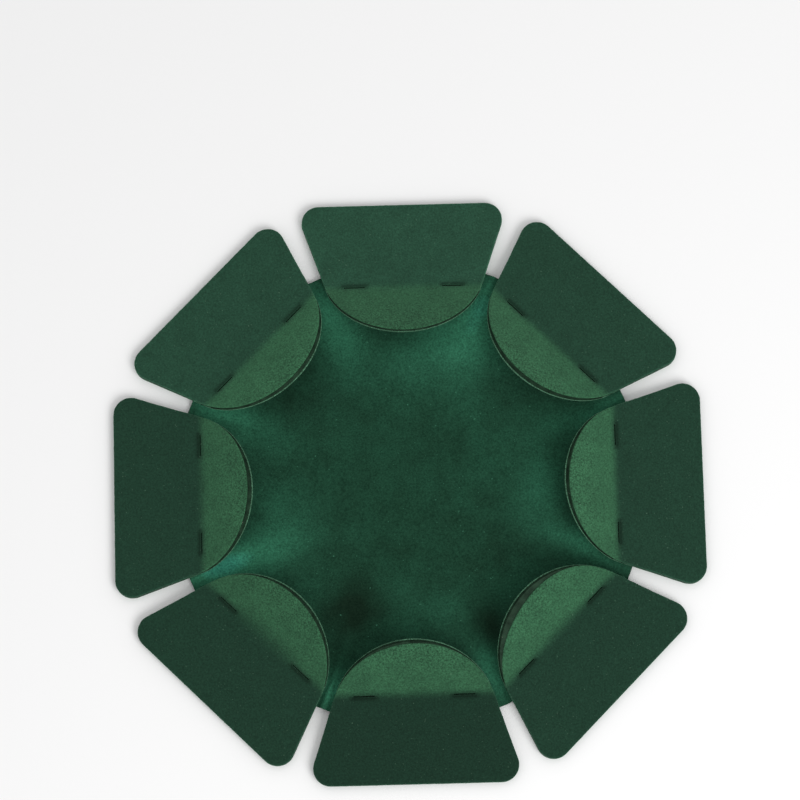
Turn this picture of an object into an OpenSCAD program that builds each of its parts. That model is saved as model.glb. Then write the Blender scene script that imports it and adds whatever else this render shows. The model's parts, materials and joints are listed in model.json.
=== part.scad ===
// Putting cup: a round velvet mat with eight bent, velour-covered steel flaps hinged round it.
// A ball rolls up a flap's flat ramp and over its fold. Its weight tips the raised inner tab
// down, and behind the ball the heavier ramp drops back and lifts the tab again.
// Millimetres, +Z up. The origin is on the floor, at the centre of the mat.

/* [Overall] */
// Distance across the outer edges of two opposite flaps
across_flats = 190; // [180:1:200]
// Number of flaps round the mat
flap_count = 8; // [8]

/* [Flap outline] */
// Radius at which the fold shows on top of a flap
fold_r = 67; // [65:0.5:69]
// Half the width of a flap at its fold
fold_half_w = 25.2; // [23:0.1:25.6]
// Angle between a flap's side and its centre line
side_angle = 19; // [16:0.5:22]
// Radius of the two outer corners
corner_r = 5.6; // [3:0.1:8]
// Length of the round tab, from the fold to its tip
tab_len = 18.7; // [17:0.1:20]

/* [Flap section] */
// Thickness of the steel core plate
plate_t = 1.5; // [1:0.1:2]
// Thickness of each velour skin
velour_t = 0.4; // [0.3:0.1:0.6]
// Slope of the ramp, down towards the floor
ramp_slope = 4.5; // [4:0.1:6]
// Slope of the tab, up towards the centre
tab_slope = 32; // [28:0.5:36]
// Bend radius on the upper side of the fold
bend_r = 8; // [4:0.5:10]

/* [Relief slots] */
// Length of each slot, along the fold
slot_len = 8; // [6:0.5:10]
// Width of each slot
slot_w = 1.3; // [0.8:0.1:2]
// Distance of each slot's middle from the flap's centre line
slot_off = 16; // [13:0.5:18]

/* [Mat] */
// Radius of the round mat
mat_r = 76; // [73:0.5:78]
// Thickness of the mat's cloth backing
backing_t = 0.4; // [0.3:0.1:0.5]
// Thickness of the velvet on the backing
velvet_t = 0.4; // [0.3:0.1:0.5]

/* [Glue strip] */
// Distance that a glue strip stays inside the flap's sides
glue_inset = 2; // [1:0.5:4]
// Distance that a glue strip stays inside the mat's edge
glue_edge = 0.6; // [0.4:0.1:2]

/* [Hidden] */
$fn = 96;
step = 360 / flap_count;
mat_t = backing_t + velvet_t;
flap_t = plate_t + 2 * velour_t;

// The bend: a piece of tube between the ramp and the tab, hollow side up
bend_angle = tab_slope - ramp_slope;
mid_slope = (tab_slope + ramp_slope) / 2;
under_r = bend_r + flap_t;
flat_len = (bend_r + flap_t / 2) * bend_angle * PI / 180;
bend_steps = 10;

// How far the bend's sides lie inside those of the flat parts, and how far the flat parts run
// into the bend, so that the three join cleanly
bend_inset = 0.05;
overlap = 0.6;

// The hinge line runs along the underside of the flap, in the middle of the bend
hinge_x = fold_r - flap_t * sin(mid_slope);
centre_x = hinge_x + under_r * sin(mid_slope);
ramp_x = centre_x - under_r * sin(ramp_slope);
rim_x = across_flats / 2 - flap_t * sin(ramp_slope);
ramp_z = (rim_x - ramp_x) * tan(ramp_slope);
centre_z = ramp_z + under_r * cos(ramp_slope);
hinge_z = centre_z - under_r * cos(mid_slope);

// The flat outline: x runs outwards from the fold, y along it
ramp_len = flat_len / 2 + (rim_x - ramp_x) / cos(ramp_slope);
tab_centre = (fold_half_w * cos(side_angle) - tab_len) / (1 - sin(side_angle));
tab_r = tab_centre + tab_len;
corner_x = ramp_len - corner_r;
corner_y = half_width(corner_x) - corner_r / cos(side_angle);
reach = 200;

velvet_green = [0.04, 0.27, 0.17];
velour_green = [0.17, 0.30, 0.22];
under_green = [0.30, 0.44, 0.34];
steel_grey = [0.30, 0.31, 0.31];
glue_amber = [0.80, 0.74, 0.55];

LAYERS = ["plate", "top_velour", "under_velour", "glue"];

// Half the width of a flap at a distance x outwards from its fold
function half_width(x) = fold_half_w + x * tan(side_angle);

// Points along an arc
function arc(middle, r, from, to, steps) = [
    for (i = [0 : steps]) let (a = from + (to - from) * i / steps) middle + r * [cos(a), sin(a)]
];

function reversed(list) = [for (i = [len(list) - 1 : -1 : 0]) list[i]];

// An outline that is the same on both sides of the x axis, from its points on one side
module mirrored_polygon(side) {
    polygon(concat(side, [for (p = reversed(side)) if (p.y > 0.001) [p.x, -p.y]]));
}

// Flat outline of a flap: a round tab whose arc is tangent to both straight sides of the ramp,
// and a ramp with two rounded corners
module flap_outline() {
    mirrored_polygon(concat(
        arc([tab_centre, 0], tab_r, 180, 90 + side_angle, 20),
        arc([corner_x, corner_y], corner_r, 90 + side_angle, 0, 10)
    ));
}

// Frame on the underside where the bend has the given slope: x outwards along the sheet,
// z square to it
module on_underside(slope) {
    translate([centre_x, 0, centre_z]) rotate([0, slope, 0]) translate([0, 0, -under_r]) children();
}

// Point on the bend's arc where the sheet has the given slope, at a height above the underside
function on_arc(slope, height) = [centre_x, centre_z] - (under_r - height) * [sin(slope), cos(slope)];

// Line of a flap's section at a height above its underside: ramp, bend and tab
function section_line(height) = [
    on_arc(ramp_slope, height) + reach * [cos(ramp_slope), -sin(ramp_slope)],
    for (i = [0 : bend_steps]) on_arc(ramp_slope + bend_angle * i / bend_steps, height),
    on_arc(tab_slope, height) + reach * [-cos(tab_slope), sin(tab_slope)]
];

// Endless bent sheet between two heights above the underside
module bent_sheet(low, high) {
    rotate([90, 0, 0]) linear_extrude(reach, center = true)
        polygon(concat(section_line(low), reversed(section_line(high))));
}

// What a flap keeps of the flat sheet beyond one end of the bend, cut square to the sheet:
// side is 1 for the ramp and -1 for the tab, and both run a little way into the bend
module flat_cutter(side) {
    translate([0, 0, -flap_t]) linear_extrude(3 * flap_t) intersection() {
        translate([-side * flat_len / 2, 0]) flap_outline();
        translate([side > 0 ? -overlap : overlap - reach, -reach / 2]) square(reach);
    }
}

// What a flap keeps of the bend: a hair narrower than the flat parts at both ends
module bend_cutter() {
    half_len = bend_r * sin(bend_angle / 2);
    ramp_w = half_width(flat_len / 2) - bend_inset;
    tab_w = sqrt(pow(tab_r, 2) - pow(tab_centre + flat_len / 2, 2)) - bend_inset;
    translate([0, 0, -flap_t]) linear_extrude(3 * flap_t)
        mirrored_polygon([[-half_len, tab_w], [half_len, ramp_w]]);
}

// One layer of a flap, from low to high above its underside, with both relief slots cut
module flap_layer(low, high) {
    difference() {
        intersection() {
            bent_sheet(low, high);
            union() {
                on_underside(ramp_slope) flat_cutter(1);
                on_underside(tab_slope) flat_cutter(-1);
                on_underside(mid_slope) bend_cutter();
            }
        }
        on_underside(mid_slope)
            for (side = [-1, 1])
                translate([-slot_w / 2, side * slot_off - slot_len / 2, -flap_t])
                cube([slot_w, slot_len, 3 * flap_t]);
    }
}

module plate() {
    color(steel_grey) flap_layer(velour_t, velour_t + plate_t);
}

module top_velour() {
    color(velour_green) flap_layer(velour_t + plate_t, flap_t);
}

module under_velour() {
    color(under_green) flap_layer(0, velour_t);
}

// Wedge of glue between the mat's top and the underside of the ramp
module glue() {
    width = 2 * (fold_half_w - glue_inset);
    color(glue_amber) intersection() {
        translate([0, width / 2, 0]) rotate([90, 0, 0]) linear_extrude(width)
            polygon([[ramp_x, mat_t], [rim_x - mat_t / tan(ramp_slope), mat_t], [ramp_x, ramp_z]]);
        translate([0, 0, mat_t]) cylinder(r = mat_r - glue_edge, h = ramp_z);
    }
}

module mat_backing() {
    color(velour_green) cylinder(r = mat_r, h = backing_t);
}

module mat_velvet() {
    color(velvet_green) translate([0, 0, backing_t]) cylinder(r = mat_r, h = velvet_t);
}

mat_velvet();
mat_backing();
for (k = [1 : flap_count]) rotate([0, 0, (k - 1) * step]) {
    plate();
    top_velour();
    under_velour();
    glue();
}
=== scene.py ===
"""Looks of the putting cup: velour skins on eight bent steel flaps, and the velvet mat under them.

Metres, +Z up, in the frame of the CAD model. A flap is worked out pointing along +X and then turned
to its place. Its flat pattern has x running outwards from the fold and y along it.
"""

import json
import math

import bpy
import numpy as np
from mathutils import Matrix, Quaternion, Vector, noise
from mathutils.geometry import delaunay_2d_cdt

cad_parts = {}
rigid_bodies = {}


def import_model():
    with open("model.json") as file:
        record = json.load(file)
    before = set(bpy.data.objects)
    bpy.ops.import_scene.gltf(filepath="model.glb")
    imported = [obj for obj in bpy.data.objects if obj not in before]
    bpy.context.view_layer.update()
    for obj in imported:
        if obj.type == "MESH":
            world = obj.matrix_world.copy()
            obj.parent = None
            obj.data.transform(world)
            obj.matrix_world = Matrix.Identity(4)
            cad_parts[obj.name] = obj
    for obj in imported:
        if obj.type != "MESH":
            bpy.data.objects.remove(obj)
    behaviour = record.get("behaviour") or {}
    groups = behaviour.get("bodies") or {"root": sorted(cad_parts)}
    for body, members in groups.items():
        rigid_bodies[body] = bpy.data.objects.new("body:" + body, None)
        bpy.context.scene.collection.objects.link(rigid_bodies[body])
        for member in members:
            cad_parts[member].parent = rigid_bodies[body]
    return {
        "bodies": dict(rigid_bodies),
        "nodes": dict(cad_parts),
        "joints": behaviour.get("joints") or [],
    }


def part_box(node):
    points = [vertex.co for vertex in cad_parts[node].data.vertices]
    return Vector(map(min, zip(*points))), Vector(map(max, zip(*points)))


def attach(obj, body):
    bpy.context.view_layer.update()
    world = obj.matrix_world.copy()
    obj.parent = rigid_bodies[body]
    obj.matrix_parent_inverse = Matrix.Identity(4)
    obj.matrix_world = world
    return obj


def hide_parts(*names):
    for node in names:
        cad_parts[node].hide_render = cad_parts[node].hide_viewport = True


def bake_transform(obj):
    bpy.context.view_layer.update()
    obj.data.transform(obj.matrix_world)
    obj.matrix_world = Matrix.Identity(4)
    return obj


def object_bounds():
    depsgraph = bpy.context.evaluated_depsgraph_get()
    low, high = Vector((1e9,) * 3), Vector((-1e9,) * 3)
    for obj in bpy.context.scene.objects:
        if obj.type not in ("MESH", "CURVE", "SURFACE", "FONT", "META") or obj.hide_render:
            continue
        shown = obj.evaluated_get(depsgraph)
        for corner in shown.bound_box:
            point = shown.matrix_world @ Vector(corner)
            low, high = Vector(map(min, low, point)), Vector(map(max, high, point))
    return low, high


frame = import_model()
cad_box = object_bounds()

MM = 0.001

# ---- the frame ----
FLAPS = sum(name.startswith("flap_") for name in frame["bodies"])
STEP = 2 * math.pi / FLAPS
HINGE = Vector(next(j["pos_m"] for j in frame["joints"] if j["name"] == "flap_1_hinge"))
RIM = cad_box[1].x
MAT_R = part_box("mat_velvet")[1].x
VELVET_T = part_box("mat_velvet")[1].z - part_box("mat_velvet")[0].z
BACKING_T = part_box("mat_backing")[1].z
MAT_T = VELVET_T + BACKING_T

# ---- a flap, as in part.scad ----
FOLD_HALF_W = 25.2 * MM
SIDE_ANGLE = math.radians(19)
CORNER_R = 5.6 * MM
TAB_LEN = 18.7 * MM
PLATE_T = 1.5 * MM
VELOUR_T = 0.4 * MM
FLAP_T = PLATE_T + 2 * VELOUR_T
RAMP_SLOPE = math.radians(4.5)
TAB_SLOPE = math.radians(32)
BEND_R = 8 * MM
SLOT_LEN = 8 * MM
SLOT_W = 1.3 * MM
SLOT_OFF = 16 * MM

BEND_ANGLE = TAB_SLOPE - RAMP_SLOPE
MID_SLOPE = (TAB_SLOPE + RAMP_SLOPE) / 2
UNDER_R = BEND_R + FLAP_T
HALF_BEND = (BEND_R + FLAP_T / 2) * BEND_ANGLE / 2
CENTRE_X = HINGE.x + UNDER_R * math.sin(MID_SLOPE)
CENTRE_Z = HINGE.z + UNDER_R * math.cos(MID_SLOPE)
RAMP_X = CENTRE_X - UNDER_R * math.sin(RAMP_SLOPE)
RIM_X = RIM - FLAP_T * math.sin(RAMP_SLOPE)
RAMP_LEN = HALF_BEND + (RIM_X - RAMP_X) / math.cos(RAMP_SLOPE)
TAB_CENTRE = (FOLD_HALF_W * math.cos(SIDE_ANGLE) - TAB_LEN) / (1 - math.sin(SIDE_ANGLE))
TAB_R = TAB_CENTRE + TAB_LEN
CORNER_X = RAMP_LEN - CORNER_R
CORNER_Y = FOLD_HALF_W + CORNER_X * math.tan(SIDE_ANGLE) - CORNER_R / math.cos(SIDE_ANGLE)


# ---- shapes of curves ----
def smooth_step(x, low, high):
    """From 0 at low to 1 at high, level at both ends."""
    t = np.clip((x - low) / (high - low), 0, 1)
    return t * t * (3 - 2 * t)


def bell(x, width):
    """1 at 0, falling to about a third at the given width."""
    return np.exp(-((x / width) ** 2))


def rounded_over(inward, r):
    """A quarter circle's height: 0 at an edge, and 1 from the distance r inside it."""
    return np.sqrt(1 - (1 - np.clip(inward / r, 0, 1)) ** 2)


# How far apart in the noise two seeds lie that differ by 1
SEED_STEP = (7.3, 3.1, 5.7)


def unevenness(points, size, seed):
    """Soft noise of about -1 to 1 at each 2-D or 3-D point, with features of that size."""
    shift = Vector([seed * step for step in SEED_STEP])
    scaled = np.asarray(points) / size
    return np.array([noise.noise(Vector((*p, 0.0)[:3]) + shift) for p in scaled])


def arc(middle, r, start, end, n):
    """Points on an arc from one angle to another."""
    a = np.linspace(start, end, n)
    return np.array(middle) + r * np.stack([np.cos(a), np.sin(a)], 1)


# ---- turning ----
def turned(points, angle):
    """Points in space, turned about the vertical axis."""
    c, s = math.cos(angle), math.sin(angle)
    return points @ np.array([[c, s, 0], [-s, c, 0], [0, 0, 1]])


def turned_flat(points, angle):
    """Points in a plane, turned about its origin."""
    c, s = math.cos(angle), math.sin(angle)
    return points @ np.array([[c, s], [-s, c]])


def turned_point(p, angle):
    """A point in space, turned about the vertical axis."""
    return Vector(turned(np.array([p]), angle)[0])


# ---- flat patterns ----
def resample(loop, spacing):
    """A closed loop's points, spread evenly."""
    closed = np.vstack([loop, loop[:1]])
    along = np.concatenate([[0], np.cumsum(np.linalg.norm(np.diff(closed, axis=0), axis=1))])
    at = np.linspace(0, along[-1], max(int(along[-1] / spacing), 8), endpoint=False)
    return np.stack([np.interp(at, along, closed[:, i]) for i in (0, 1)], 1)


def inside(points, loop):
    """Whether each point lies inside a closed loop."""
    a, b = loop, np.roll(loop, -1, 0)
    x, y = points[:, :1], points[:, 1:]
    crosses = (a[:, 1] > y) != (b[:, 1] > y)
    with np.errstate(divide="ignore", invalid="ignore"):
        at = a[:, 0] + (y - a[:, 1]) * (b[:, 0] - a[:, 0]) / (b[:, 1] - a[:, 1])
    return (crosses & (x < at)).sum(1) % 2 == 1


def between(points, outer, holes):
    """Whether each point lies inside outer and outside every hole."""
    keep = inside(points, outer)
    for hole in holes:
        keep &= ~inside(points, hole)
    return keep


def grid_inside(loop, spacing, holes=()):
    """A triangular grid of points inside a loop and outside the holes."""
    low, high = loop.min(0), loop.max(0)
    rows = np.arange(low[1], high[1], spacing * math.sqrt(3) / 2)
    columns = np.arange(low[0], high[0], spacing)
    points = np.array([(x + (j % 2) * spacing / 2, y) for j, y in enumerate(rows) for x in columns])
    return points[between(points, loop, holes)]


# Points of a pattern that are closer together than this, in millimetres, become one
MERGED_MM = 1e-5


def triangulate(loops, loose, outer, holes=()):
    """Joins closed loops of points and loose points into triangles, and keeps those inside outer and
    outside the holes. Returns the points, the triangles and where each point was in the input."""
    points = np.vstack([*loops, loose])
    edges, first = [], 0
    for loop in loops:
        n = len(loop)
        edges += [(first + i, first + (i + 1) % n) for i in range(n)]
        first += n
    made = delaunay_2d_cdt([Vector(p) for p in points / MM], edges, [], 0, MERGED_MM)
    corners, _, faces, sources, _, _ = made
    flat = np.array([tuple(p) for p in corners]) * MM
    source = np.array([s[0] if s else 0 for s in sources])
    triangles = np.array(faces)
    keep = between(flat[triangles].mean(1), outer, holes)
    return flat, triangles[keep], source


# ---- meshes ----
# An edge between two faces that meet at more than this angle stays crisp
SHARP_ANGLE = math.radians(40)

# Least length that a normal is divided by, so that a wall of no area does no harm
TINY = 1e-12


def sheet_normals(points, triangles, walls, top_normals):
    """A normal for each corner of each face: the sheet's own on both its faces, and flat walls."""
    corner = points[np.array(walls)]
    flat = np.cross(corner[:, 1] - corner[:, 0], corner[:, 3] - corner[:, 0])
    flat /= np.maximum(np.linalg.norm(flat, axis=1, keepdims=True), TINY)
    above = top_normals[triangles.ravel()]
    below = -top_normals[triangles[:, ::-1].ravel()]
    return np.vstack([above, below, np.repeat(flat, 4, 0)])


def closed_sheet(name, top, bottom, triangles, top_normals=None):
    """A closed mesh from matching points on a sheet's two faces, with walls round its edges."""
    n = len(top)
    points = np.vstack([top, bottom])
    directed = np.concatenate([triangles[:, [0, 1]], triangles[:, [1, 2]], triangles[:, [2, 0]]])
    taken = {tuple(edge) for edge in directed.tolist()}
    rim = [(a, b) for a, b in directed.tolist() if (b, a) not in taken]
    faces = triangles.tolist() + (triangles[:, ::-1] + n).tolist()
    walls = [(a + n, b + n, b, a) for a, b in rim]
    mesh = bpy.data.meshes.new(name)
    mesh.from_pydata(points.tolist(), [], faces + walls)
    mesh.shade_smooth()
    mesh.set_sharp_from_angle(angle=SHARP_ANGLE)
    if top_normals is not None:
        mesh.normals_split_custom_set(sheet_normals(points, triangles, walls, top_normals).tolist())
    o = bpy.data.objects.new(name, mesh)
    bpy.context.scene.collection.objects.link(o)
    return o


def paint(o, name, values):
    """Stores a number for each point of a closed sheet's pattern, on both its faces, for the
    material to read."""
    attribute = o.data.attributes.new(name, "FLOAT", "POINT")
    attribute.data.foreach_set("value", np.tile(np.asarray(values, np.float32), 2))


# ---- materials ----
class Nodes:
    """A new material with a Principled shader, and short ways to add nodes to it."""

    def __init__(self, name, **constants):
        self.material = bpy.data.materials.new(name)
        self.material.use_nodes = True
        self.tree = self.material.node_tree
        self.shader = self.tree.nodes["Principled BSDF"]
        for socket, value in constants.items():
            self.shader.inputs[socket.replace("_", " ")].default_value = value
        self.place = self.tree.nodes.new("ShaderNodeTexCoord").outputs["Object"]

    def put(self, value, socket):
        """Sets a socket to a constant, or links another node's output to it."""
        if isinstance(value, bpy.types.NodeSocket):
            self.tree.links.new(value, socket)
        else:
            socket.default_value = value

    def node(self, kind, **inputs):
        """A new node, with its inputs by name."""
        n = self.tree.nodes.new(kind)
        for name, value in inputs.items():
            self.put(value, n.inputs[name.replace("_", " ")])
        return n

    def attribute(self, name):
        """A number that paint stored on the mesh."""
        n = self.tree.nodes.new("ShaderNodeAttribute")
        n.attribute_name = name
        return n.outputs["Fac"]

    def noise(self, size, detail=2.0, rough=0.5):
        """Noise from 0 to 1, with features of that size."""
        n = self.node(
            "ShaderNodeTexNoise", Vector=self.place, Scale=1 / size, Detail=detail, Roughness=rough
        )
        return n.outputs["Fac"]

    def stretch(self, value, low, high, to_low=0.0, to_high=1.0):
        """Maps low to to_low and high to to_high, and holds the ends: the node's inputs 1 to 4."""
        n = self.node("ShaderNodeMapRange", Value=value)
        for i, x in zip((1, 2, 3, 4), (low, high, to_low, to_high)):
            n.inputs[i].default_value = x
        return n.outputs["Result"]

    def math(self, operation, a, b):
        """One calculation with two numbers."""
        n = self.tree.nodes.new("ShaderNodeMath")
        n.operation = operation
        self.put(a, n.inputs[0])
        self.put(b, n.inputs[1])
        return n.outputs[0]

    def mix(self, share, a, b, blend="MIX"):
        """Colour a, with that share of colour b. Their sockets on the node are 6 and 7."""
        n = self.tree.nodes.new("ShaderNodeMix")
        n.data_type, n.blend_type = "RGBA", blend
        for value, i in ((share, 0), (a, 6), (b, 7)):
            self.put(value, n.inputs[i])
        return n.outputs[2]

    def grey(self, value):
        """A number as a colour."""
        n = self.node("ShaderNodeCombineColor", Red=value, Green=value, Blue=value)
        return n.outputs["Color"]

    def bump(self, height, distance, strength=1.0, normal=None):
        """A normal for fine relief, on top of another if one is given."""
        n = self.node("ShaderNodeBump", Height=height, Distance=distance, Strength=strength)
        if normal is not None:
            self.put(normal, n.inputs["Normal"])
        return n.outputs["Normal"]

    def link(self, value, socket):
        """Sets or links one of the shader's inputs."""
        self.put(value, self.shader.inputs[socket])


def rgb(r, g, b):
    """A solid colour, from 0 to 1."""
    return (r, g, b, 1.0)


def darker(colour, share):
    """A solid colour with that share of its brightness."""
    return rgb(*(share * c for c in colour[:3]))


def velour(name, dark, light, glint_colour):
    """Short flocked pile: a dark tone and a light one, the light one partly how the pile lies and partly
    painted sheen, a fine speckle with painted glints, and soft mottling. It reads the attribute that
    goes from dark to light, tone (how bright) and coarse (how strong the speckle)."""
    m = Nodes(
        name,
        Roughness=0.95,
        Specular_IOR_Level=0.1,
        Sheen_Weight=0.25,
        Sheen_Roughness=0.45,
        Sheen_Tint=rgb(0.45, 0.85, 0.6),
    )
    # from dark to light: partly how the pile lies, partly painted sheen
    pile = m.mix(m.attribute("nap_and_painted_light"), dark, light)
    pile = m.mix(1.0, pile, m.grey(m.attribute("tone")), "MULTIPLY")
    blotches = m.stretch(m.noise(6 * MM, 4, 0.6), 0.3, 0.7, 0.0, 0.3)
    mottled = m.mix(blotches, pile, darker(dark, 0.6))
    fibres = m.noise(0.55 * MM, 2, 0.65)
    coarse = m.attribute("coarse")
    least, most = (m.grey(m.math(operation, 1.0, coarse)) for operation in ("SUBTRACT", "ADD"))
    speckle = m.mix(m.stretch(fibres, 0.32, 0.68), least, most)
    shaded = m.mix(1.0, mottled, speckle, "MULTIPLY")
    # painted glints: light specks in the colour for fibres catching the light
    glints = m.stretch(m.noise(0.6 * MM, 1), 0.72, 0.8, 0.0, 0.3)
    m.link(m.mix(glints, shaded, glint_colour), "Base Color")
    soft = m.bump(m.noise(1.6 * MM, 2), 0.12 * MM, 0.5)
    m.link(m.bump(fibres, 0.12 * MM, 0.6, soft), "Normal")
    return m.material


def satin_velvet():
    """Deep green velvet with a coloured satin shine. It reads an attribute from dark to light: the
    velvet's own lightness with a soft random drift, plus patches of painted sheen and shade. At its
    lightest it is also bluer, a painted sheen highlight."""
    m = Nodes(
        "velvet",
        Specular_IOR_Level=0.08,
        IOR=1.5,
        Specular_Tint=rgb(0.2, 1.0, 0.6),
        Sheen_Weight=0.2,
        Sheen_Roughness=0.4,
        Sheen_Tint=rgb(0.12, 0.65, 0.4),
    )
    nap_and_painted_light = m.attribute("nap_and_painted_light")
    pile = m.mix(nap_and_painted_light, rgb(0.006, 0.014, 0.008), rgb(0.042, 0.215, 0.122))
    # bluer at its lightest: a painted sheen highlight
    pile = m.mix(m.stretch(nap_and_painted_light, 0.65, 1.05), pile, rgb(0.044, 0.26, 0.18))
    fibres = m.noise(0.6 * MM, 3, 0.65)
    streaks = m.noise(2.2 * MM, 4, 0.6)
    fine = m.grey(m.stretch(fibres, 0.3, 0.7, 0.4, 1.75))
    grain = m.mix(0.4, fine, m.grey(m.stretch(streaks, 0.3, 0.7, 0.7, 1.3)))
    shaded = m.mix(1.0, pile, grain, "MULTIPLY")
    # painted glints: light specks in the colour for fibres catching the light
    glints = m.stretch(m.noise(0.9 * MM, 1), 0.74, 0.8, 0.0, 0.45)
    m.link(m.mix(glints, shaded, rgb(0.07, 0.24, 0.15)), "Base Color")
    m.link(m.stretch(m.noise(9 * MM, 3), 0.3, 0.7, 0.5, 0.65), "Roughness")
    soft = m.bump(m.noise(3 * MM, 3), 0.2 * MM, 0.4)
    m.link(m.bump(fibres, 0.1 * MM, 0.5, soft), "Normal")
    return m.material


THREAD_SPACING = 1 * MM
WAVE_REPEATS = 3.2  # how often a wave texture of scale 1 repeats in a unit of length


def woven_backing():
    """Dark plain-woven cloth, its threads crossing over and under."""
    m = Nodes(
        "backing",
        Roughness=0.9,
        Specular_IOR_Level=0.2,
        Sheen_Weight=0.2,
        Sheen_Roughness=0.5,
        Sheen_Tint=rgb(0.4, 0.7, 0.5),
    )
    scale = 1 / (WAVE_REPEATS * THREAD_SPACING)
    threads = []
    for direction in ("X", "Y"):
        wave = m.node("ShaderNodeTexWave", Vector=m.place, Scale=scale, Distortion=0.6, Detail=1.0)
        wave.bands_direction = direction
        threads.append(wave.outputs["Fac"])
    weave = m.math("MAXIMUM", *threads)
    fading = m.stretch(m.noise(12 * MM, 3), 0.3, 0.7)
    faded = m.mix(fading, rgb(0.010, 0.035, 0.022), rgb(0.018, 0.055, 0.034))
    m.link(m.mix(m.stretch(weave, 0.2, 0.9, 0.0, 0.6), rgb(0.004, 0.014, 0.009), faded), "Base Color")
    m.link(m.bump(weave, 0.12 * MM, 0.8), "Normal")
    return m.material


def stained_steel():
    """The plate's sheared edge: dark green stain over steel, with short bright scratches."""
    m = Nodes("steel", Specular_IOR_Level=0.06)
    staining = m.stretch(m.noise(2.5 * MM, 4), 0.3, 0.7)
    stain = m.mix(staining, rgb(0.006, 0.016, 0.009), rgb(0.018, 0.044, 0.025))
    bare = m.stretch(m.noise(1.3 * MM, 3, 0.7), 0.7, 0.78)
    m.link(m.mix(bare, stain, rgb(0.30, 0.29, 0.26)), "Base Color")
    m.link(bare, "Metallic")
    m.link(m.stretch(m.noise(0.5 * MM, 3), 0.3, 0.7, 0.42, 0.7), "Roughness")
    m.link(m.bump(m.noise(0.35 * MM, 3), 0.08 * MM, 0.6), "Normal")
    return m.material


def amber_glue():
    """Hot-melt glue: waxy and a little cloudy."""
    m = Nodes(
        "glue",
        Specular_IOR_Level=0.5,
        Subsurface_Weight=0.25,
        Subsurface_Radius=(2 * MM, 1.2 * MM, 0.6 * MM),
    )
    clouding = m.stretch(m.noise(4 * MM, 3), 0.3, 0.7)
    m.link(m.mix(clouding, rgb(0.50, 0.36, 0.15), rgb(0.66, 0.54, 0.31)), "Base Color")
    m.link(m.stretch(m.noise(2 * MM, 2), 0.3, 0.7, 0.28, 0.5), "Roughness")
    m.link(m.bump(m.noise(2.5 * MM, 2), 0.2 * MM, 0.4), "Normal")
    return m.material


# ---- flaps ----
# How light each flap's velour looks on its ramp and on its tab: partly how its pile leans, as the pieces
# are cut alike and turned with their flaps, and partly painted light falling off from +Y to -Y, so that
# the ramps towards +Y are lighter and those towards -Y darker. The third number is how much wider than
# usual the change between the two is in the middle of the fold.
PILE_AND_PAINTED_LIGHT_TONE = {
    1: (1.0, 1.0, 0.0),
    2: (1.15, 1.0, 0.0),
    3: (1.6, 0.92, 0.4),
    4: (1.4, 1.12, 0.2),
    5: (0.95, 0.98, 0.4),
    6: (0.85, 0.86, 1.6),
    7: (0.7, 0.9, 0.2),
    8: (0.88, 0.97, 0.5),
}

# How far the top velour stops short of the tip of each tab, in millimetres, or hangs over it (less
# than 0), and how far from the middle of the tip that is the most, in radians round the tab
SHORT_OF_TIP = {
    1: (0.3, 0.2),
    2: (0.3, -0.1),
    3: (-0.85, 0.0),
    4: (0.3, -0.3),
    5: (0.55, 0.1),
    6: (0.4, 0.2),
    7: (0.65, -0.2),
    8: (2.3, -0.25),
}
TOP_PROUD = 0.25 * MM  # how far the top velour stands out at the tab's sides
UNDER_PROUD = 0.26 * MM  # how far the under velour stands out at the tab's tip
UNDER_LARGER = 0.05 * MM  # how much larger the under velour is cut all round
SLOT_CLOSED = 0.46 * MM  # how far the velour creeps in over the edge of a slot

# How the tab's cut edge moves: the outer part of the tab that stretches or shrinks with it, how
# quickly the move at the tip gives way to the one at the sides, and where round the tab it fades out
EDGE_REACH = 6 * MM
TIP_NARROWING = 1.35
FADES_FROM, FADES_TO = math.radians(70), math.radians(105)

# The pile at a cut edge: the distance over which it is rounded, how much of its height is left at
# the edge itself, and how far, how deep and in what lengths the edge is frayed
PILE_ROUND = 0.32 * MM
PILE_AT_EDGE = 0.45
FRAY_OUT = 0.07 * MM
FRAY_DEPTH = 0.5 * MM
FRAY_SIZE = 1.1 * MM

# The pile elsewhere: how uneven it is and over what lengths, and how much lower beside a slot
PILE_UNEVEN = 0.025 * MM
PILE_WAVES = 4 * MM
SLOT_PRESS = 0.6
SLOT_REACH = 0.8 * MM

# The tones of the pile, with distances outwards from the fold: where the tab's tone gives way to the
# ramp's, how much lighter the tab is and how much more at its tip, partly as the pile stands up there
# and partly as painted sheen, how strong the speckle is on the ramp, and how much stronger on the tab
# and again at its tip
TONE_CHANGE = (-2.6 * MM, 1.4 * MM)
TAB_PILE_AND_SHEEN, TIP_PILE_AND_SHEEN = 0.94, 0.1
RAMP_COARSE, TAB_COARSE, TIP_COARSE = 0.26, 0.08, 0.22

# The painted shade beside a slot, shifted a little outwards, and the painted highlight along a ramp's
# cut edges
SLOT_SHADE = 0.62
SHADE_SHIFT = (0.4 * MM, 0)
LIT_EDGE = 0.9
LIT_WIDTH = 0.22 * MM

# Rings of points follow each cut edge, at these distances inside it, and a grid of points fills the
# rest. The distances are used as the points' depth, and the grid's points all count as deep.
EDGE_RINGS = [d * MM for d in (0, 0.07, 0.16, 0.32, 0.65)]
OUTLINE_SPACING = 0.5 * MM
SLOT_SPACING = 0.35 * MM
GRID_SPACING = 0.9 * MM
GRID_INSET = 1.3 * MM
GRID_PAST_SLOT = 0.85 * MM
DEEP = 1 * MM
HAIR = 0.01 * MM  # puts the test outline just outside the outermost ring

SLOT_CORNER_R = 0.3 * MM
TAB_POINTS, CORNER_POINTS, SLOT_END_POINTS = 90, 30, 5  # along each arc of an outline


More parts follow.
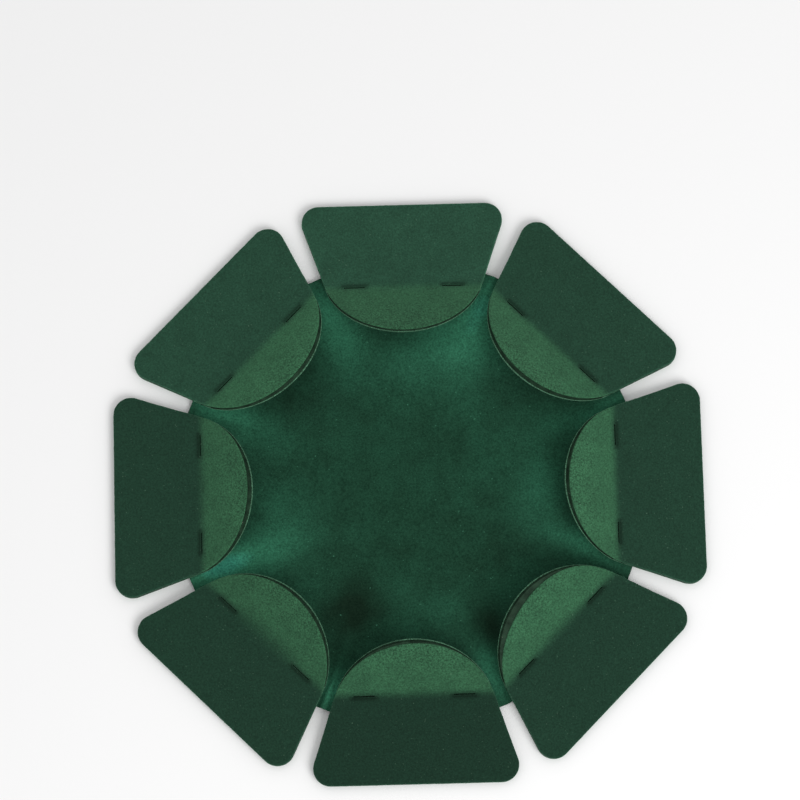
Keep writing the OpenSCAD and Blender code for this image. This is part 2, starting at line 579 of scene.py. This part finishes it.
def outline(inset):
    """A flap's flat outline, pulled in by inset: its arcs keep their centres."""
    side = np.vstack([
        arc((TAB_CENTRE, 0), TAB_R - inset, math.pi, math.pi / 2 + SIDE_ANGLE, TAB_POINTS),
        arc((CORNER_X, CORNER_Y), CORNER_R - inset, math.pi / 2 + SIDE_ANGLE, 0, CORNER_POINTS),
    ])
    return np.vstack([side, (side * (1, -1))[::-1][:-1]])[::-1]


def slot_outline(side, grow):
    """A relief slot on one side of a flap, grown by grow, with slightly rounded ends."""
    half_l, half_w = SLOT_LEN / 2 + grow, SLOT_W / 2 + grow
    r = min(SLOT_CORNER_R + max(grow, 0), half_w)
    corners = []
    for x, y, start in ((1, 1, 0), (-1, 1, 90), (-1, -1, 180), (1, -1, 270)):
        middle = (x * (half_w - r), y * (half_l - r))
        end = math.radians(start + 90)
        corners.append(arc(middle, r, math.radians(start), end, SLOT_END_POINTS))
    return np.vstack(corners) + (0, side * SLOT_OFF)


def flap_pattern(larger):
    """Points and triangles of a flap's flat pattern, cut larger by that much all round, with each
    point's depth inside the nearest cut edge."""
    outer = [resample(outline(d - larger), OUTLINE_SPACING) for d in EDGE_RINGS]
    slots = [
        [resample(slot_outline(side, d - SLOT_CLOSED), SLOT_SPACING) for d in EDGE_RINGS]
        for side in (-1, 1)
    ]
    clear_of_slots = [slot_outline(side, GRID_PAST_SLOT) for side in (-1, 1)]
    grid = grid_inside(outline(GRID_INSET - larger), GRID_SPACING, clear_of_slots)
    loops = [*outer, *slots[0], *slots[1]]
    depth = [np.full(len(loop), d) for loop, d in zip(loops, EDGE_RINGS * 3)]
    depth = np.concatenate([*depth, np.full(len(grid), DEEP)])
    just_outside = outline(-larger - HAIR)
    flat, triangles, source = triangulate(loops, grid, just_outside, [rings[0] for rings in slots])
    return flat, triangles, depth[source]


def on_flap(flat, height):
    """Where points of the flat pattern lie on a flap, at a height above its underside."""
    x = flat[:, 0]
    slope = MID_SLOPE - np.clip(x / HALF_BEND, -1, 1) * BEND_ANGLE / 2
    beyond = x - np.clip(x, -HALF_BEND, HALF_BEND)
    r = UNDER_R - height
    return np.stack([
        CENTRE_X - r * np.sin(slope) + beyond * np.cos(slope),
        flat[:, 1],
        CENTRE_Z - r * np.cos(slope) - beyond * np.sin(slope),
    ], 1)


def slot_distance(flat):
    """How far points of the flat pattern lie from the nearest slot, as the velour has narrowed it."""
    along = np.maximum(np.abs(np.abs(flat[:, 1]) - SLOT_OFF) - SLOT_LEN / 2 + SLOT_W / 2, 0)
    return np.maximum(np.hypot(flat[:, 0], along) - SLOT_W / 2 + SLOT_CLOSED, 0)


def moved_edge(flat, at_tip, at_sides, sideways):
    """The flat pattern with the tab's edge moved out, by at_tip at an angle sideways from the tip and
    by at_sides farther round."""
    away = flat - (TAB_CENTRE, 0)
    r = np.maximum(np.linalg.norm(away, axis=1), MM)
    angle = np.arctan2(away[:, 1], -away[:, 0])
    from_tip = np.clip(TIP_NARROWING * (angle - sideways), -math.pi / 2, math.pi / 2)
    before_fold = 1 - smooth_step(np.abs(angle), FADES_FROM, FADES_TO)
    amount = (at_sides + (at_tip - at_sides) * np.cos(from_tip) ** 2) * before_fold
    return flat + away * (amount * smooth_step(r, TAB_R - EDGE_REACH, TAB_R) / r)[:, None]


def frayed(flat, depth, seed):
    """How far each point near a cut edge is shifted within the cloth, to make the edge uneven."""
    reach = FRAY_OUT * np.clip(1 - depth / FRAY_DEPTH, 0, 1)
    return np.stack([reach * unevenness(flat, FRAY_SIZE, seed + i) for i in (0, 9)], 1)


def pile_height(flat, depth, seed):
    """Height of a skin: rounded over inside its cut edges, a little uneven elsewhere, and pressed
    down round the slots."""
    edge = PILE_AT_EDGE + (1 - PILE_AT_EDGE) * rounded_over(depth, PILE_ROUND)
    uneven = PILE_UNEVEN * unevenness(flat, PILE_WAVES, seed) * (depth > FRAY_DEPTH)
    pressed = 1 - SLOT_PRESS * bell(slot_distance(flat), SLOT_REACH)
    return (VELOUR_T * edge + uneven) * pressed


def paint_velour(o, flat, depth, above, k):
    """Stores what the velour material reads: the tab is lighter than the ramp, partly as its pile stands
    up and partly as painted sheen, its speckle is coarser towards the tip, painted shade darkens it
    round the slots, and a painted highlight lightens a ramp's cut edges on the upper skin."""
    # tones per flap: partly how the pile leans, partly painted light falling off from +Y to -Y
    ramp_tone, tab_tone, softer = PILE_AND_PAINTED_LIGHT_TONE[k]
    spread = 1 + softer * np.clip(1 - (flat[:, 1] / SLOT_OFF) ** 2, 0, 1)
    # lighter on the tab and towards its tip: partly the pile standing up, partly painted sheen
    tab_share = 1 - smooth_step(flat[:, 0] / spread, *TONE_CHANGE)
    tab_share = tab_share * (TAB_PILE_AND_SHEEN + TIP_PILE_AND_SHEEN * smooth_step(-flat[:, 0], 4 * MM, TAB_LEN))
    towards_tip = smooth_step(-flat[:, 0], 5 * MM, TAB_LEN)
    coarse = RAMP_COARSE + tab_share * (TAB_COARSE + TIP_COARSE * towards_tip)
    # painted shade round the slots, and a painted highlight along a ramp's cut edges
    shade = SLOT_SHADE * bell(slot_distance(flat - SHADE_SHIFT), SLOT_REACH)
    lit_edge = (LIT_EDGE if above else 0) * bell(depth, LIT_WIDTH) * (1 - tab_share)
    tone = (ramp_tone + (tab_tone - ramp_tone) * tab_share) * (1 + lit_edge) * (1 - shade)
    paint(o, "nap_and_painted_light", tab_share)
    paint(o, "coarse", coarse)
    paint(o, "tone", tone)


def velour_skin(name, pattern, above, k):
    """One flap's velour, on the top or the underside of its plate."""
    flat, triangles, depth = pattern
    seed = 3 * k + above
    shift = frayed(flat, depth, seed)
    pile = pile_height(flat, depth, seed)
    if above:
        short, sideways = SHORT_OF_TIP[k]
        cut = moved_edge(flat, -short * MM, TOP_PROUD, sideways)
        top = on_flap(cut + shift, VELOUR_T + PLATE_T + pile)
        bottom = on_flap(cut, VELOUR_T + PLATE_T)
    else:
        cut = moved_edge(flat, UNDER_PROUD, 0, 0)
        top = on_flap(cut, VELOUR_T)
        bottom = on_flap(cut + shift, VELOUR_T - pile)
    angle = (k - 1) * STEP
    o = closed_sheet(name, turned(top, angle), turned(bottom, angle), triangles)
    paint_velour(o, flat, depth, above, k)
    return o


# ---- mat ----
GLUE_T = 0.35 * MM  # thickness of the glue at the hinge line
SEAM_X = HINGE.x  # how far out the mat's margin pieces begin
SEAM_HALF = SEAM_X * math.tan(STEP / 2)
SEAM_Z = HINGE.z - GLUE_T
LEVEL_TAB_X = SEAM_X + TAB_CENTRE - 0.3 * MM  # centre of a tab's arc once the tab is level
REST_Z = MAT_T + 0.05 * MM  # the least height of the velvet
MIDDLE_Z = REST_Z + 0.5 * MM  # its height in the middle of the mat, before folds and swells
RISE_X = 52 * MM  # how far out it begins to rise towards the flaps
MARGIN_SLOPE = RAMP_SLOPE + math.radians(2)  # steeper than the ramp, so the glue grows outwards
ROUNDED = 1.2 * MM  # over how far the directions of two flaps blend in the gap between them

# Folds in the gaps, by the flap that comes before each going anticlockwise: height of the crest in
# millimetres, and how far it is shifted towards the next flap, as a share of the gap
FOLDS = {
    1: (0.3, 0.1),
    2: (0.5, -0.1),
    3: (-0.5, 0.15),
    4: (-0.6, -0.2),
    5: (-0.5, 0.0),
    6: (0.8, -0.2),
    7: (-0.7, 0.3),
    8: (-0.7, -0.3),
}
FOLDS_FROM, FOLDS_FULL = 36 * MM, 60 * MM  # how far out they begin, and reach their full height
LEAST_GAP = 0.5 * MM  # the least half width that a gap counts as having

# Soft swells and hollows of the mat: direction in degrees, distance from the centre, reach along and
# across that direction, and height, in millimetres
SWELLS = [
    (73, 47, 9, 15, 0.9),
    (200, 42, 11, 12, 0.9),
    (352, 41, 11, 12, 0.8),
    (272, 34, 8, 15, 0.8),
    (242, 42, 9, 8, -0.6),
    (300, 46, 8, 8, -0.6),
    (135, 38, 12, 14, 0.6),
    (35, 42, 10, 11, 0.5),
    (100, 10, 18, 20, 0.5),
]
SWELLS_TO, SWELLS_GONE = 44 * MM, 58 * MM  # how far out they begin to fade, and are gone

# Patches of painted sheen (lighter) and painted shade (darker) on the velvet: direction, distance
# out, reach along and across, in the same units, and how much lighter
PAINTED_SHEEN_AND_SHADE = [
    (70, 53, 10, 12, 0.47),
    (67, 66, 8, 6, 0.6),
    (90, 42, 9, 12, 0.2),
    (112, 56, 12, 7, 0.35),
    (112, 68, 7, 5, 0.25),
    (158, 54, 11, 7, 0.15),
    (157, 70, 6, 5, 0.3),
    (154, 64, 9, 4, 0.35),
    (202, 54, 14, 7, 0.42),
    (201, 66, 9, 4, 0.78),
    (196, 40, 9, 11, 0.08),
    (21, 67, 9, 4, 0.36),
    (29, 74, 4, 3, -0.05),
    (22, 54, 8, 7, 0.12),
    (0, 44, 8, 12, 0.2),
    (342, 60, 12, 4, 0.32),
    (337, 66, 8, 5, 0.08),
    (270, 34, 7, 14, 0.03),
    (293, 64, 9, 4, 0.38),
    (293, 50, 6, 5, 0.12),
    (249, 69, 6, 4, 0.6),
    (20, 32, 12, 14, 0.03),
    (243, 42, 11, 9, -0.14),
    (224, 45, 6, 6, 0.05),
    (296, 50, 8, 7, -0.2),
    (182, 44, 9, 7, 0.1),
    (316, 45, 7, 8, 0.08),
    (320, 33, 10, 11, -0.06),
    (284, 41, 6, 7, 0.08),
    (268, 45, 4, 6, 0.07),
    (60, 36, 9, 10, 0.09),
]
PLAIN_PILE = 0.132  # how light the pile is where no patch of painted sheen or shade lies

# Soft unevenness of that lightness: strength, size in millimetres and seed
PILE_DRIFT = [(0.05, 14, 3), (0.04, 5, 4)]

# How many steps half a hinge line has, and how many points each other edge of a margin piece. Then
# the spacing of the points inside the centre and the margin pieces, how far they keep inside the
# centre piece's edge, and the part of a margin piece's outline that they fill
SEAM_STEPS = 40
RIM_POINTS, FLAP_LINE_POINTS, GAP_LINE_POINTS = 44, 16, 9
CENTRE_SPACING = 1.15 * MM
CENTRE_INSET = 0.7 * MM
MARGIN_SPACING = 0.7 * MM
MARGIN_SHRUNK = 0.94

# How far from the gap's middle, in millimetres, make_mat works out an end point for each margin piece,
# which it then does not use
MARGIN_RUN_MM = 2.4


def across_gap(x, y):
    """How far a point lies out along the nearest gap's middle line, how far across it, and which gap it
    is: gap 1 follows flap 1, going anticlockwise."""
    a = np.arctan2(y, x) - STEP / 2
    k = np.round(a / STEP)
    r, off = np.hypot(x, y), a - k * STEP
    return r * np.cos(off), r * np.sin(off), k.astype(int) % FLAPS + 1


def gap_half_width(out):
    """Half the room between two flaps at a distance out along their gap, with both tabs pushed level."""
    u, v = out * math.cos(STEP / 2), out * math.sin(STEP / 2)
    from_tab = np.hypot(u - LEVEL_TAB_X, v) - TAB_R
    from_side = (v - FOLD_HALF_W - (u - SEAM_X) * math.tan(SIDE_ANGLE)) * math.cos(SIDE_ANGLE)
    beside_tab = np.arctan2(v, u - LEVEL_TAB_X) > math.pi / 2 + SIDE_ANGLE
    return np.clip(np.where(beside_tab, from_tab, from_side), LEAST_GAP, v)


def folds_height(x, y):
    """The crests and hollows in the gaps between the flaps, which die out towards the centre."""
    out, across, gap = across_gap(x, y)
    height, shift = np.array([FOLDS[k] for k in range(1, FLAPS + 1)])[gap - 1].T
    off = across / gap_half_width(out) - shift
    off = np.clip(off / (1 - shift * np.sign(off)), -1, 1)
    return height * MM * np.cos(off * math.pi / 2) ** 2 * smooth_step(out, FOLDS_FROM, FOLDS_FULL)


def patches(table, x, y):
    """The sum of soft round patches, each with its own size and strength."""
    total = np.zeros_like(x)
    for angle, out, along, across, strength in table:
        a = math.radians(angle)
        u = x * math.cos(a) + y * math.sin(a) - out * MM
        v = y * math.cos(a) - x * math.sin(a)
        total += strength * np.exp(-((u / along) ** 2 + (v / across) ** 2) / MM**2)
    return total


def along_flap(x, y):
    """How far a point lies along the nearest flap's direction, rounded over between two flaps."""
    u = np.stack([x * math.cos(k * STEP) + y * math.sin(k * STEP) for k in range(FLAPS)])
    return u.max(0) + ROUNDED * np.log(np.exp((u - u.max(0)) / ROUNDED).sum(0))


def mat_top(x, y):
    """Height of the mat's velvet: low in the middle, and up against the ramps at the margin."""
    u = along_flap(x, y)
    under_ramp = SEAM_Z - np.maximum(u - SEAM_X, 0) * math.tan(MARGIN_SLOPE)
    rise = MIDDLE_Z + (SEAM_Z - MIDDLE_Z) * smooth_step(u, RISE_X, SEAM_X)
    swells = patches(SWELLS, x, y) * MM * (1 - smooth_step(u, SWELLS_TO, SWELLS_GONE))
    z = np.where(u > SEAM_X, under_ramp, rise) + folds_height(x, y) + swells
    return np.maximum(z, REST_Z)


def mat_normal(x, y):
    """The way the mat's velvet faces."""
    step = 0.2 * MM
    dx = (mat_top(x + step, y) - mat_top(x - step, y)) / (2 * step)
    dy = (mat_top(x, y + step) - mat_top(x, y - step)) / (2 * step)
    n = np.stack([-dx, -dy, np.ones_like(dx)], 1)
    return n / np.linalg.norm(n, axis=1, keepdims=True)


def velvet_lightness(x, y):
    """From 0 to 1, how light the velvet looks: its own lightness with a soft random drift, plus patches
    of painted sheen and shade.
    """
    points = np.stack([x, y], 1)
    drift = sum(strength * unevenness(points, size * MM, seed) for strength, size, seed in PILE_DRIFT)
    return np.clip(PLAIN_PILE + patches(PAINTED_SHEEN_AND_SHADE, x, y) + drift, 0, 1)


def seam_points():
    """Points on flap 1's hinge line, from its middle to the middle of the gap."""
    y = np.linspace(0, SEAM_HALF, SEAM_STEPS + 1)
    return np.stack([np.full(SEAM_STEPS + 1, SEAM_X), y], 1)


def centre_pattern():
    """The mat inside the hinge lines: an eight-sided piece."""
    half = seam_points()
    side = np.vstack([(half * (1, -1))[::-1][:-1], half[:-1]])
    loop = np.vstack([turned_flat(side, k * STEP) for k in range(FLAPS)])
    grid = grid_inside(loop * (1 - CENTRE_INSET / SEAM_X), CENTRE_SPACING)
    flat, triangles, _ = triangulate([loop], grid, loop)
    return flat, triangles


def margin_pattern():
    """The half of the mat's margin between flap 1's middle and the middle of the gap after it."""
    seam = seam_points()[::-1]
    rim = arc((0, 0), MAT_R, 0, STEP / 2, RIM_POINTS)
    flap_line = np.linspace(seam[-1], rim[0], FLAP_LINE_POINTS)[1:-1]
    gap_line = np.linspace(rim[-1], seam[0], GAP_LINE_POINTS)[1:-1]
    loop = np.vstack([seam, flap_line, rim, gap_line])
    middle = loop.mean(0)
    grid = grid_inside(loop, MARGIN_SPACING)
    grid = grid[inside(grid, middle + (loop - middle) * MARGIN_SHRUNK)]
    flat, triangles, _ = triangulate([loop], grid, loop)
    return flat, triangles


def mat_layer(name, pattern, angle, flip, low, high):
    """One piece of one layer of the mat, from low to high above the mat's underside."""
    flat, triangles = pattern
    if flip:
        flat, triangles = flat * (1, -1), triangles[:, ::-1]
    flat = turned_flat(flat, angle)
    x, y = flat.T
    velvet_z = mat_top(x, y)
    top, bottom = (np.column_stack([flat, velvet_z - (MAT_T - level)]) for level in (high, low))
    o = closed_sheet(name, top, bottom, triangles, mat_normal(x, y))
    # the velvet's lightness, with patches of painted sheen and shade
    paint(o, "nap_and_painted_light", velvet_lightness(x, y))
    return o


def make_mat(layer, patterns, material, low, high):
    """A layer of the mat: the middle piece is attached to the mat, and the margin is made as two pieces
    under each ramp.
    """
    node = f"mat_{layer}"
    centre, margin = patterns
    middle = mat_layer(node + "_cloth", centre, 0, False, low, high)
    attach(middle, "mat")
    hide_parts(node)
    pieces = []
    for k in range(FLAPS):
        for flip, side, across in ((False, "a", 1), (True, "b", -1)):
            o = mat_layer(f"{node}_margin_{k + 1}{side}", margin, k * STEP, flip, low, high)
            start = Vector((SEAM_X, across * SEAM_HALF, 0))
            towards = Vector((math.sin(STEP / 2), -across * math.cos(STEP / 2), 0))
            end = start + towards * MARGIN_RUN_MM * MM
            start, end = (turned_point(p, k * STEP) for p in (start, end))
            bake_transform(o)
            pieces.append(o)
    for o in [middle, *pieces]:
        o.data.materials.append(material)


# ---- glue ----
GLUE_COLUMNS, GLUE_ROWS = 16, 90
GLUE_FROM_SIDES = 1.6 * MM  # how far the glue stays inside the flap's sides
GLUE_FROM_SEAM, GLUE_FROM_RIM = 1.0 * MM, 1.0 * MM  # and from the hinge line and the mat's edge
GLUE_WAVES = 5 * MM  # the length of the waves in its long edges, and their heights
WAVES_IN, WAVES_OUT = 0.5 * MM, 0.9 * MM
GLUE_ROUND = 0.6 * MM  # the distance over which its edges are rounded

# The glue's thickness as a share of the room between ramp and mat: at its edges, and how much more
# inside them. Together they are over 1, so the bead is pressed a little into the velvet and velour.
GLUE_EDGE, GLUE_INNER = 0.2, 0.85


def grid_triangles(rows, columns):
    """Two triangles for each cell of a grid of points that are numbered row by row."""
    i = np.arange(rows * columns).reshape(rows, columns)
    a, b, c, d = (corner.ravel() for corner in (i[:-1, :-1], i[:-1, 1:], i[1:, 1:], i[1:, :-1]))
    return np.concatenate([np.stack([a, b, c], 1), np.stack([a, c, d], 1)])


def make_glue(k, material):
    """The flattened bead of glue between a ramp and the mat's margin, with wavy edges."""
    half = FOLD_HALF_W - GLUE_FROM_SIDES
    s, y = np.meshgrid(np.linspace(0, 1, GLUE_COLUMNS), np.linspace(-half, half, GLUE_ROWS))
    s, y = s.ravel(), y.ravel()
    zero = np.zeros_like(y)
    edge_in, edge_out = (unevenness(np.stack([y, zero], 1), GLUE_WAVES, seed + k) for seed in (40, 60))
    x_in = SEAM_X + GLUE_FROM_SEAM + WAVES_IN * edge_in
    x_out = np.sqrt((MAT_R - GLUE_FROM_RIM) ** 2 - y**2) + WAVES_OUT * edge_out
    x = x_in + (x_out - x_in) * s
    inward = np.minimum(np.minimum(x - x_in, x_out - x), half - np.abs(y))
    ramp_z = HINGE.z - (x - SEAM_X) * math.tan(RAMP_SLOPE)
    velvet_z = mat_top(x, zero)
    middle = (ramp_z + velvet_z) / 2
    share = GLUE_EDGE + GLUE_INNER * rounded_over(inward, GLUE_ROUND)
    thick = (ramp_z - velvet_z) / 2 * share
    angle = (k - 1) * STEP
    top, bottom = (turned(np.stack([x, y, middle + sign * thick], 1), angle) for sign in (1, -1))
    o = closed_sheet(f"flap_{k}_glue_bead", top, bottom, grid_triangles(GLUE_ROWS, GLUE_COLUMNS))
    o.data.materials.append(material)
    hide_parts(f"flap_{k}_glue")
    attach(o, f"flap_{k}")


# ---- building ----
def make_flap(k, patterns, materials):
    """A flap: its CAD plate in stained steel, its two skins and its glue."""
    plate = frame["nodes"][f"flap_{k}_plate"]
    plate.data.materials.clear()
    plate.data.materials.append(materials["steel"])
    for layer, above in (("top_velour", True), ("under_velour", False)):
        node = f"flap_{k}_{layer}"
        o = velour_skin(node + "_skin", patterns[layer], above, k)
        o.data.materials.append(materials[layer])
        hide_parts(node)
        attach(o, f"flap_{k}")
    make_glue(k, materials["glue"])


# The camera looks down from a little in front of the object, and far enough off to flatten it
CAMERA_LEAN = math.radians(12)
CAMERA_ROLL = math.radians(-1.5)
CAMERA_FAR = 1.3
CAMERA_SENSOR_MM = 36
VIEW_WIDTH = 0.2595
VIEW_MIDDLE = (-0.0021, 0.0302, 0)

# The light: an even white sky, and a soft lamp in front of the object and to its right
SKY_STRENGTH = 0.74
LAMP_PLACE = (0.53, -0.63, 0.74)
LAMP_SIZE = 0.7
LAMP_WATTS = 6.5

FLOOR_HALF = 3
FLOOR_Z = -0.05 * MM


def make_light(scene):
    """The sky and the lamp."""
    world = bpy.data.worlds.new("studio")
    world.use_nodes = True
    sky = world.node_tree.nodes["Background"]
    sky.inputs["Color"].default_value = (1, 1, 1, 1)
    sky.inputs["Strength"].default_value = SKY_STRENGTH
    scene.world = world
    data = bpy.data.lights.new("key", "AREA")
    data.shape, data.size, data.energy = "DISK", LAMP_SIZE, LAMP_WATTS
    lamp = bpy.data.objects.new("key", data)
    lamp.location = LAMP_PLACE
    lamp.rotation_euler = (-Vector(LAMP_PLACE)).to_track_quat("-Z", "Y").to_euler()
    scene.collection.objects.link(lamp)


def make_floor(scene):
    """A pale floor, just below the object."""
    signs = ((-1, -1), (1, -1), (1, 1), (-1, 1))
    corners = [(x * FLOOR_HALF, y * FLOOR_HALF, FLOOR_Z) for x, y in signs]
    mesh = bpy.data.meshes.new("floor")
    mesh.from_pydata(corners, [], [(0, 1, 2, 3)])
    pale = Nodes("floor", Base_Color=rgb(0.9, 0.9, 0.9), Roughness=0.9, Specular_IOR_Level=0.1)
    mesh.materials.append(pale.material)
    floor = bpy.data.objects.new("floor", mesh)
    scene.collection.objects.link(floor)


def make_camera(scene):
    """The camera, leaning back from straight above."""
    data = bpy.data.cameras.new("camera")
    data.sensor_width = CAMERA_SENSOR_MM
    data.lens = CAMERA_SENSOR_MM * CAMERA_FAR / VIEW_WIDTH
    camera = bpy.data.objects.new("camera", data)
    lean = Vector((0, -math.sin(CAMERA_LEAN), math.cos(CAMERA_LEAN)))
    camera.location = Vector(VIEW_MIDDLE) + lean * CAMERA_FAR
    upright = lean.to_track_quat("Z", "Y")
    camera.rotation_euler = (upright @ Quaternion((0, 0, 1), CAMERA_ROLL)).to_euler()
    scene.collection.objects.link(camera)
    scene.camera = camera


materials = {
    "steel": stained_steel(),
    # the top velour's light tone is partly its pile standing up on the tabs and partly painted sheen
    "top_velour": velour(
        "top_velour", rgb(0.013, 0.044, 0.026), rgb(0.034, 0.118, 0.057), rgb(0.16, 0.28, 0.19)
    ),
    "under_velour": velour(
        "under_velour", rgb(0.08, 0.20, 0.12), rgb(0.08, 0.20, 0.12), rgb(0.2, 0.36, 0.25)
    ),
    "glue": amber_glue(),
}
flap_patterns = {"top_velour": flap_pattern(0), "under_velour": flap_pattern(UNDER_LARGER)}
for k in range(1, FLAPS + 1):
    make_flap(k, flap_patterns, materials)
mat_patterns = centre_pattern(), margin_pattern()
make_mat("velvet", mat_patterns, satin_velvet(), BACKING_T, MAT_T)
make_mat("backing", mat_patterns, woven_backing(), 0, BACKING_T)

scene = bpy.context.scene
scene.view_settings.view_transform = "Standard"
make_light(scene)
make_floor(scene)
make_camera(scene)
